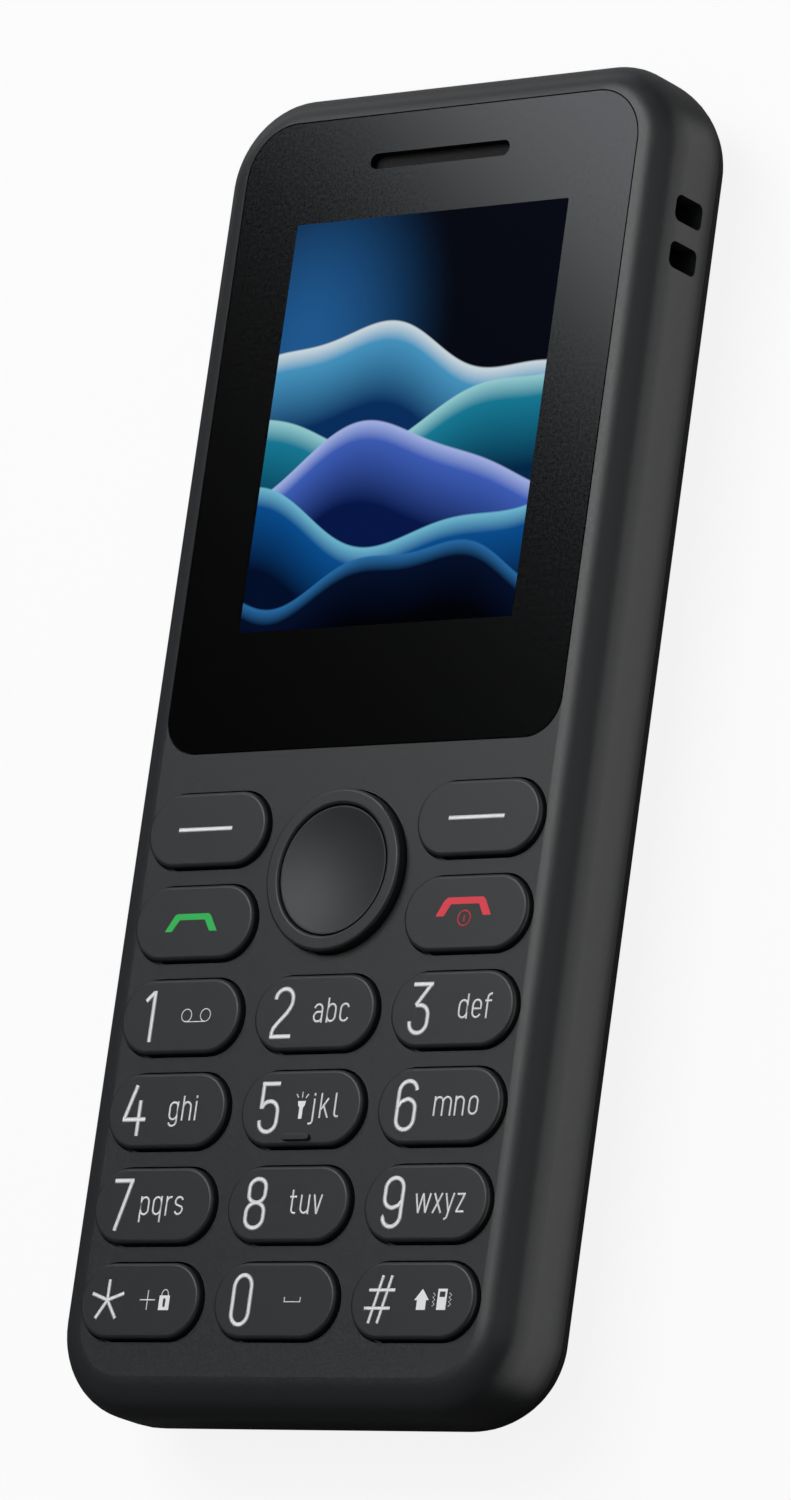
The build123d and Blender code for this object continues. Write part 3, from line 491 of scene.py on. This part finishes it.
class PHONE_OT_outside(bpy.types.Operator):
    """Finishes the case, keys and window"""

    bl_idname = "phone.outside"
    bl_label = "Finish the outside"

    def execute(self, context):
        looks = context.scene.phone_finish
        # ABS moulded in a spark-eroded tool: matt charcoal with a fine pebble that breaks up the highlight.
        # The real pebble is near 0.08 mm wide and would not show, so it is drawn at 0.25 mm.
        case = grained("spark_eroded_abs", looks.case, looks.grain, 0.36, 0.05, 0.006 * MM, {"IOR": 1.58})
        paint_finish(case, "case_plastic")
        # The same ABS from a plainer tool, on the frame behind the keys and the upper end.
        chassis = grained(
            "moulded_abs_chassis", looks.chassis, looks.grain, 0.42, 0.05, 0.006 * MM, {"IOR": 1.53}
        )
        paint_finish(chassis, "inner_plastic")
        # Polycarbonate key caps with a soft matt lacquer: a finer grain and an even, soft highlight.
        # The lacquer's own texture is under 0.05 mm, and is drawn at 0.18 mm so that it shows.
        keys = grained(
            "lacquered_polycarbonate", looks.keys, looks.key_grain, 0.36, 0.04, 0.003 * MM, {"IOR": 1.58}
        )
        paint_finish(keys, "key_plastic")
        # The dished key is blasted rougher, so that its hollow keeps a soft shade.
        dish = grained(
            "blasted_polycarbonate", looks.keys, looks.key_grain, 0.5, 0.04, 0.004 * MM, {"IOR": 1.58}
        )
        paint(frame["nodes"]["select_key"], dish)
        # Cast acrylic with black print behind it: dark and glossy, softened by a fine anti-glare etch.
        window = grained(
            "printed_acrylic",
            looks.window,
            0.3 * MM,
            0.13,
            0.02,
            0.0003 * MM,
            {"IOR": 1.49, "Specular Tint": linear("f2f8ff")},
            drift=0.05,
        )
        paint_finish(window, "window_plastic")
        return {"FINISHED"}


class PHONE_OT_inside(bpy.types.Operator):
    """Finishes the parts inside the case and the sockets"""

    bl_idname = "phone.inside"
    bl_label = "Finish the inside"

    def execute(self, context):
        metal = {"Metallic": 1.0}
        dull = {"Metallic": 0.3}
        even = (1, 1, 1)
        # Finish: name, colour, grain in mm, roughness and its spread, relief in mm, settings, stretch.
        finishes = {
            # Stainless sheet, rolled: brushed along the phone.
            "steel": ("rolled_stainless_steel", "b9babb", 0.12, 0.3, 0.06, 0.002, metal, (8, 1, 1)),
            # Sintered tungsten alloy: dull dark grey metal.
            "heavy_metal": ("sintered_tungsten", "8b8a87", 0.2, 0.45, 0.05, 0.005, metal, even),
            # Gold flash on nickel: smooth and warm.
            "gold": ("gold_plate", "dfb968", 0.2, 0.22, 0.04, 0.001, metal, even),
            # Battery can in a printed polymer sleeve: pale grey, low gloss.
            "battery_can": ("sleeved_aluminium_can", "a9abad", 0.4, 0.4, 0.05, 0.002, dull, (1, 4, 1)),
            # Diffusing polycarbonate: white and slightly waxy.
            "white_plastic": (
                "diffusing_polycarbonate", "eceae2", 0.3, 0.45, 0.04, 0.002, {"IOR": 1.58}, even
            ),
            # Liquid silicone rubber: milky grey with a dry, dusty surface.
            "silicone": ("silicone_rubber", "b4b6ba", 0.2, 0.6, 0.05, 0.004, {"IOR": 1.41}, even),
            # Closed-cell urethane foam: black, no gloss, open pores.
            "foam": ("urethane_foam", "232323", 0.25, 0.9, 0.04, 0.03, {"IOR": 1.4}, even),
            # Polyimide film over copper: amber and glossy.
            "film": ("polyimide_film", "b5803a", 0.5, 0.25, 0.04, 0.001, {"IOR": 1.7}, (1, 6, 1)),
            # Liquid-crystal polymer: black, short glass fibres show as streaks.
            "black_plastic": (
                "glass_filled_polymer", "1b1b1c", 0.15, 0.5, 0.06, 0.003, {"IOR": 1.6}, (1, 5, 1)
            ),
        }
        for finish, (name, code, grain, roughness, spread, relief, settings, stretch) in finishes.items():
            material = grained(
                name, linear(code), grain * MM, roughness, spread, relief * MM, settings, stretch
            )
            paint_finish(material, finish)
        paint_finish(board_material(), "board")
        paint_finish(lens_material(), "clear_plastic")
        paint_finish(panel_material(), "display_glass")
        # Woven polyester mesh dyed black, 0.2 mm threads: nearly no gloss.
        mesh = grained("black_woven_mesh", linear("141415"), 0.2 * MM, 0.75, 0.1, 0.02 * MM, {"IOR": 1.5})
        paint(frame["nodes"]["earpiece_mesh"], mesh)
        return {"FINISHED"}


def board_material():
    # Glass-epoxy board under green solder resist: satin, with a pattern of raised copper areas.
    material, tree = new_material("solder_resist_on_epoxy")
    place = add_node(tree, "ShaderNodeTexCoord").outputs["Object"]
    cells = add_node(
        tree,
        "ShaderNodeTexVoronoi",
        {"distance": "MANHATTAN", "feature": "F1", "Scale": 1 / (1.6 * MM), "Randomness": 0.6},
        {"Vector": place},
    ).outputs["Distance"]
    tracks = add_node(tree, "ShaderNodeMath", {"operation": "PINGPONG", 1: 0.2}, {0: cells}).outputs[0]
    mask = add_node(
        tree, "ShaderNodeMapRange", {"From Min": 0.08, "From Max": 0.12}, {"Value": tracks}
    ).outputs[0]
    tint = add_node(
        tree,
        "ShaderNodeMix",
        {"data_type": "RGBA", 6: linear("0f3a24"), 7: linear("1c5c38")},
        {0: mask},
    ).outputs[2]
    bump = add_node(tree, "ShaderNodeBump", {"Distance": 0.02 * MM}, {"Height": mask}).outputs[0]
    shader = add_node(
        tree,
        "ShaderNodeBsdfPrincipled",
        {"Roughness": 0.35, "IOR": 1.5},
        {"Base Color": tint, "Normal": bump},
    )
    finish_tree(tree, shader)
    return material


def lens_material():
    # Moulded clear acrylic: see-through, with faint rings from the turned mould.
    material, tree = new_material("clear_acrylic")
    place = add_node(tree, "ShaderNodeTexCoord").outputs["Object"]
    low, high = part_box("torch_lens")
    centred = add_node(
        tree, "ShaderNodeMapping", {"Location": -(low + high) / 2}, {"Vector": place}
    ).outputs[0]
    rings = add_node(
        tree,
        "ShaderNodeTexWave",
        {"wave_type": "RINGS", "rings_direction": "Y", "Scale": 1 / (1.4 * MM)},
        {"Vector": centred},
    ).outputs[1]
    bump = add_node(tree, "ShaderNodeBump", {"Distance": 0.005 * MM}, {"Height": rings}).outputs[0]
    shader = add_node(
        tree,
        "ShaderNodeBsdfPrincipled",
        {"Base Color": linear("f2f4f6"), "Roughness": 0.06, "IOR": 1.49, "Transmission Weight": 0.9},
        {"Normal": bump},
    )
    finish_tree(tree, shader)
    return material


def panel_material():
    # Display glass with its polariser: dark, smooth, faintly blue.
    return grained("polarised_glass", linear("101826"), 0.5 * MM, 0.1, 0.02, 0.0002 * MM, {"IOR": 1.52})


# Sky of the display picture, in shares of its width and length: the middle and reach of its glow.
SKY_GLOW = (0.1, 0.7, 0)
SKY_REACH = 0.55
# A ridge's crest is drawn over this rise, and its middle colour sits at this share of its depth.
CREST_EDGE = {"From Min": -0.002, "From Max": 0.003}
MIDDLE_SHADE = 0.24
# Ridges of the display picture from far to near: height, two swells (size, turns, start), depth, colours.
RIDGES = [
    (0.66, (0.07, 0.75, 0.02), (0.02, 1.9, 0.4), 0.2, ("e9f6fb", "4ea4d4", "0a3468")),
    (0.53, (0.08, 0.62, 0.55), (0.025, 1.6, 0.1), 0.22, ("a9e6ea", "1a86a4", "052c50")),
    (0.4, (0.09, 0.8, 0.9), (0.02, 1.7, 0.75), 0.2, ("b9caff", "4467c8", "071a50")),
    (0.27, (0.07, 0.7, 0.35), (0.03, 1.5, 0.2), 0.2, ("7fd0ea", "0b559c", "031230")),
    (0.13, (0.06, 0.85, 0.7), (0.02, 2.1, 0.5), 0.16, ("2f78b8", "04122e", "010206")),
]


def picture_material():
    # Back-lit colour display behind acrylic: it shines by itself under the window's gloss.
    # The picture is a generic one: rolling ridges that lie one before the other at night.
    looks = bpy.context.scene.phone_printing
    material, tree = new_material("lit_display")
    place = add_node(tree, "ShaderNodeTexCoord").outputs["Object"]
    corner = (-looks.picture_width / 2, looks.picture_middle - looks.picture_length / 2, 0)
    scale = (1 / looks.picture_width, 1 / looks.picture_length, 1)
    moved = add_node(
        tree, "ShaderNodeMapping", {"Location": [-c * s for c, s in zip(corner, scale)], "Scale": scale},
        {"Vector": place},
    ).outputs[0]
    split = add_node(tree, "ShaderNodeSeparateXYZ", links={0: moved})
    across, up = split.outputs[0], split.outputs[1]
    glow = add_node(
        tree,
        "ShaderNodeVectorMath",
        {"operation": "DISTANCE", 1: SKY_GLOW},
        {0: moved},
    ).outputs["Value"]
    sky_mask = add_node(
        tree,
        "ShaderNodeMapRange",
        {"interpolation_type": "SMOOTHSTEP", "From Max": SKY_REACH, "To Min": 1.0, "To Max": 0.0},
        {"Value": glow},
    ).outputs[0]
    colour = add_node(
        tree,
        "ShaderNodeMix",
        {"data_type": "RGBA", 6: linear("060a16"), 7: linear("2563a0")},
        {0: sky_mask},
    ).outputs[2]
    for height, swell, ripple, depth, codes in RIDGES:
        crest = None
        for size, turns, start in (swell, ripple):
            phase = add_node(
                tree,
                "ShaderNodeMath",
                {"operation": "MULTIPLY_ADD", 1: turns * math.tau, 2: start * math.tau},
                {0: across},
            ).outputs[0]
            wave = add_node(tree, "ShaderNodeMath", {"operation": "SINE"}, {0: phase}).outputs[0]
            added = add_node(
                tree, "ShaderNodeMath", {"operation": "MULTIPLY_ADD", 1: size, 2: height}, {0: wave}
            )
            if crest:
                tree.links.new(crest, added.inputs[2])
            crest = added.outputs[0]
        below = add_node(tree, "ShaderNodeMath", {"operation": "SUBTRACT"}, {0: crest, 1: up}).outputs[0]
        ramp = add_node(tree, "ShaderNodeMapRange", {"From Max": depth}, {"Value": below}).outputs[0]
        shades = add_node(tree, "ShaderNodeValToRGB", links={0: ramp})
        stops = shades.color_ramp.elements
        stops[0].color = linear(codes[0])
        stops[1].color = linear(codes[2])
        stops.new(MIDDLE_SHADE).color = linear(codes[1])
        mask = add_node(tree, "ShaderNodeMapRange", CREST_EDGE, {"Value": below}).outputs[0]
        colour = add_node(
            tree, "ShaderNodeMix", {"data_type": "RGBA"}, {0: mask, 6: colour, 7: shades.outputs[0]}
        ).outputs[2]
    shader = add_node(
        tree,
        "ShaderNodeBsdfPrincipled",
        {"Base Color": linear("000000"), "Roughness": 0.24, "IOR": 1.05, "Emission Strength": 0.75},
        {"Emission Color": colour},
    )
    finish_tree(tree, shader)
    return material


PICTURE_CORNER = 0.15 * MM
PICTURE_THICKNESS = 0.02 * MM


class PHONE_OT_picture(bpy.types.Operator):
    """Adds the lit picture on the display"""

    bl_idname = "phone.picture"
    bl_label = "Add the display picture"

    def execute(self, context):
        looks = context.scene.phone_printing
        clear_selection()
        bpy.ops.mesh.primitive_plane_add(size=1, location=(0, looks.picture_middle, WINDOW_TOP))
        piece = context.object
        piece.name = "display_picture"
        piece.scale = (looks.picture_width, looks.picture_length, 1)
        bpy.ops.object.transform_apply(location=True, rotation=True, scale=True)
        bpy.ops.object.mode_set(mode="EDIT")
        bpy.ops.mesh.select_all(action="SELECT")
        bpy.ops.mesh.bevel(offset=PICTURE_CORNER, segments=3, affect="VERTICES")
        bpy.ops.mesh.extrude_region_move(TRANSFORM_OT_translate={"value": (0, 0, PICTURE_THICKNESS)})
        bpy.ops.mesh.select_all(action="SELECT")
        bpy.ops.mesh.normals_make_consistent(inside=False)
        bpy.ops.object.mode_set(mode="OBJECT")
        paint(piece, picture_material())
        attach(piece, "phone")
        return {"FINISHED"}


class PHONE_OT_printing(bpy.types.Operator):
    """Prints the numbers, letters and symbols on the keys"""

    bl_idname = "phone.printing"
    bl_label = "Print the keys"

    def execute(self, context):
        looks = context.scene.phone_printing
        ink = ink_material("screen_ink_white", looks.ink)
        inks = {
            "key_call": ink_material("screen_ink_green", looks.call),
            "key_end": ink_material("screen_ink_red", looks.end),
        }
        shapes = numbers()
        alphabet = letters()
        marks = symbols()
        for key_name in KEYS:
            sign = key_name[4:]
            groups = []
            if sign in shapes:
                groups.append((THIN_STROKES.get(sign, NUMBER_STROKE), shapes[sign]))
            for letter, start in LETTERS_ON_KEY.get(sign, {}).items():
                lines = [[(x + start, y + LETTER_BASE) for x, y in line] for line in alphabet[letter]]
                groups.append((LETTER_STROKE, lines))
            groups += marks.get(sign.split("_")[0], [])
            print_key(key_name, groups, inks.get(key_name, ink))
        return {"FINISHED"}


# Camera solved from the photograph, its turn in degrees.
CAMERA_PLACE = (0.418335, -0.158474, 0.513353)
CAMERA_TURN = (19.63032, 37.32061, 9.74241)
SENSOR_HEIGHT = 36

# Each light: its level in PhoneStage, place, turn in degrees and size.
LIGHTS = [
    ("above", (-0.2, 0.25, 0.9), (0, 0, 0), (1.1, 1.1)),
    ("behind", (-0.374, 0.47, 0.8), (0, 0, -39), (0.9, 0.5)),
    ("back", (-0.62, 0.78, 0.18), (79.6, 0, 218.4), (0.9, 0.3)),
    ("fill", (0.78, 0.24, 0.62), (0, 52.8, 17.1), (0.8, 0.9)),
]


# Paper sweep, in metres: a flat disc whose rim rises.
FLOOR_RADIUS = 3.0
FLOOR_RIM = 0.6
FLOOR_RISE = 0.35
# The phone's shade on the paper, as its own gloss sees it: it fades beyond an outline that is set in a
# little, the paper on the right is clear of it within a sector, and the paper to the rear is lighter.
SHADE_INSET = Vector((5 * MM, 5 * MM, 0))
SHADE_EDGE = {"From Min": 4 * MM, "From Max": 11 * MM}
SHADE_RIGHT = {"From Min": -10 * MM, "From Max": 30 * MM}
SHADE_SECTOR = {"From Min": 0.5, "From Max": 0.95}
REAR_PAPER = {"From Min": 45 * MM, "From Max": 75 * MM}
# Share of the paper that is lit to plain white. The rest takes the shadow.
PAPER_GLOW = 0.88

# Black flag between the softbox and the window.
FLAG_PLACE = (-0.92, 0.01, 0.83)
FLAG_TURN = -39
FLAG_SIZE = (1.6, 0.9, 1)


def floor_material():
    # White paper sweep: white where the camera sees it, and in reflections beyond the phone's own shade.
    # It keeps the phone's shadow, and gives back little light to the sides of the phone.
    material, tree = new_material("white_paper_sweep")
    rays = add_node(tree, "ShaderNodeLightPath")
    place = add_node(tree, "ShaderNodeTexCoord").outputs["Object"]
    reach = BOUNDS_AT_LOAD[1] - SHADE_INSET
    folded = add_node(tree, "ShaderNodeVectorMath", {"operation": "ABSOLUTE"}, {0: place}).outputs[0]
    outside = add_node(
        tree, "ShaderNodeVectorMath", {"operation": "SUBTRACT", 1: reach}, {0: folded}
    ).outputs[0]
    outside = add_node(tree, "ShaderNodeVectorMath", {"operation": "MAXIMUM"}, {0: outside}).outputs[0]
    distance = add_node(
        tree, "ShaderNodeVectorMath", {"operation": "LENGTH"}, {0: outside}
    ).outputs["Value"]
    split = add_node(tree, "ShaderNodeSeparateXYZ", links={0: place})
    contact = add_node(
        tree,
        "ShaderNodeMapRange",
        {"interpolation_type": "SMOOTHSTEP", **SHADE_EDGE},
        {"Value": distance},
    ).outputs[0]
    right = add_node(
        tree,
        "ShaderNodeMapRange",
        {"interpolation_type": "SMOOTHSTEP", **SHADE_RIGHT},
        {"Value": split.outputs[0]},
    ).outputs[0]
    heading = add_node(
        tree, "ShaderNodeVectorMath", {"operation": "NORMALIZE"}, {0: outside}
    ).outputs[0]
    heading = add_node(tree, "ShaderNodeSeparateXYZ", links={0: heading})
    sector = add_node(
        tree,
        "ShaderNodeMapRange",
        {"interpolation_type": "SMOOTHSTEP", **SHADE_SECTOR},
        {"Value": heading.outputs[0]},
    ).outputs[0]
    near = add_node(tree, "ShaderNodeMath", {"operation": "MULTIPLY"}, {0: contact, 1: right}).outputs[0]
    open_floor = add_node(
        tree, "ShaderNodeMath", {"operation": "MULTIPLY"}, {0: near, 1: sector}
    ).outputs[0]
    reflected = add_node(
        tree,
        "ShaderNodeMath",
        {"operation": "MAXIMUM"},
        {0: rays.outputs["Is Glossy Ray"], 1: rays.outputs["Is Transmission Ray"]},
    ).outputs[0]
    reflected = add_node(
        tree, "ShaderNodeMath", {"operation": "MULTIPLY"}, {0: reflected, 1: open_floor}
    ).outputs[0]
    seen = add_node(
        tree, "ShaderNodeMath", {"operation": "MAXIMUM"}, {0: reflected, 1: rays.outputs["Is Camera Ray"]}
    ).outputs[0]
    share = add_node(tree, "ShaderNodeMath", {"operation": "MULTIPLY", 1: PAPER_GLOW}, {0: seen}).outputs[0]
    rear = add_node(
        tree,
        "ShaderNodeMapRange",
        {"interpolation_type": "SMOOTHSTEP", **REAR_PAPER},
        {"Value": split.outputs[1]},
    ).outputs[0]
    tint = add_node(
        tree, "ShaderNodeMix", {"data_type": "RGBA", 6: linear("444444"), 7: linear("989898")}, {0: rear}
    ).outputs[2]
    tint = add_node(
        tree,
        "ShaderNodeMix",
        {"data_type": "RGBA", 6: linear("646464")},
        {0: rays.outputs["Is Glossy Ray"], 7: tint},
    ).outputs[2]
    tint = add_node(
        tree,
        "ShaderNodeMix",
        {"data_type": "RGBA", 7: linear("f8f8f8")},
        {0: rays.outputs["Is Camera Ray"], 6: tint},
    ).outputs[2]
    paper = add_node(tree, "ShaderNodeBsdfDiffuse", links={"Color": tint})
    glow = add_node(tree, "ShaderNodeEmission", {"Color": linear("ffffff"), "Strength": 1.0})
    mixed = add_node(
        tree, "ShaderNodeMixShader", links={0: share, 1: paper.outputs[0], 2: glow.outputs[0]}
    )
    finish_tree(tree, mixed)
    return material


def flag_material():
    # Black velvet flag: takes the light out of the window's reflection.
    material, tree = new_material("black_velvet")
    shader = add_node(tree, "ShaderNodeBsdfDiffuse", {"Color": linear("050505")})
    finish_tree(tree, shader)
    return material


class PHONE_OT_stage(bpy.types.Operator):
    """Adds the camera, the lights and the floor"""

    bl_idname = "phone.stage"
    bl_label = "Add the stage"

    def execute(self, context):
        looks = context.scene.phone_stage
        scene = context.scene
        clear_selection()
        bpy.ops.object.camera_add(
            location=CAMERA_PLACE, rotation=[math.radians(turn) for turn in CAMERA_TURN]
        )
        camera = context.object
        camera.data.sensor_fit = "VERTICAL"
        camera.data.sensor_height = SENSOR_HEIGHT
        camera.data.lens = looks.lens
        scene.camera = camera

        for name, place, turn, size in LIGHTS:
            angles = [math.radians(angle) for angle in turn]
            bpy.ops.object.light_add(type="AREA", location=place, rotation=angles)
            lamp = context.object
            lamp.name = "softbox_" + name
            lamp.data.shape = "RECTANGLE"
            lamp.data.size, lamp.data.size_y = size
            lamp.data.energy = getattr(looks, name) * math.pi * size[0] * size[1]
            # The diffuser overhead only fills: a polariser keeps it out of the gloss.
            lamp.visible_glossy = name != "above"

        world = bpy.data.worlds.new("studio_room")
        scene.world = world
        world.use_nodes = True
        world.node_tree.nodes.clear()
        air = add_node(
            world.node_tree, "ShaderNodeBackground", {"Color": linear("ffffff"), "Strength": looks.room}
        )
        add_node(world.node_tree, "ShaderNodeOutputWorld", links={"Surface": air.outputs[0]})

        clear_selection()
        bpy.ops.mesh.primitive_circle_add(vertices=96, radius=FLOOR_RADIUS, fill_type="NGON")
        floor = context.object
        floor.name = "paper_sweep"
        bpy.ops.object.mode_set(mode="EDIT")
        bpy.ops.mesh.select_all(action="SELECT")
        bpy.ops.mesh.inset(thickness=FLOOR_RIM)
        bpy.ops.mesh.select_all(action="DESELECT")
        bpy.ops.object.mode_set(mode="OBJECT")
        for vertex in floor.data.vertices:
            if vertex.co.length > FLOOR_RADIUS - FLOOR_RIM / 2:
                vertex.co.z = FLOOR_RISE
        bpy.ops.object.shade_smooth()
        paint(floor, floor_material())

        bpy.ops.mesh.primitive_plane_add(
            size=1, location=FLAG_PLACE, rotation=(0, 0, math.radians(FLAG_TURN))
        )
        flag = context.object
        flag.name = "flag"
        flag.scale = FLAG_SIZE
        bpy.ops.object.transform_apply(location=True, rotation=True, scale=True)
        paint(flag, flag_material())

        scene.view_settings.view_transform = "Standard"
        return {"FINISHED"}


class PHONE_PT_panel(bpy.types.Panel):
    """Lists the steps that dress the phone"""

    bl_label = "Phone"
    bl_idname = "PHONE_PT_panel"
    bl_space_type = "VIEW_3D"
    bl_region_type = "UI"
    bl_category = "Phone"

    def draw(self, context):
        for step in STEPS:
            self.layout.operator(step.bl_idname)


GROUPS = {
    "phone_finish": PhoneFinish,
    "phone_printing": PhonePrinting,
    "phone_stage": PhoneStage,
}
STEPS = [PHONE_OT_outside, PHONE_OT_inside, PHONE_OT_picture, PHONE_OT_printing, PHONE_OT_stage]


def register():
    for group in (*GROUPS.values(), *STEPS, PHONE_PT_panel):
        bpy.utils.register_class(group)
    for name, group in GROUPS.items():
        setattr(bpy.types.Scene, name, bpy.props.PointerProperty(type=group))


def unregister():
    for name in GROUPS:
        delattr(bpy.types.Scene, name)
    for group in (PHONE_PT_panel, *STEPS[::-1], *GROUPS.values()):
        bpy.utils.unregister_class(group)


def main():
    register()
    bpy.ops.phone.outside()
    bpy.ops.phone.inside()
    bpy.ops.phone.picture()
    bpy.ops.phone.printing()
    bpy.ops.phone.stage()


if __name__ == "__main__":
    main()
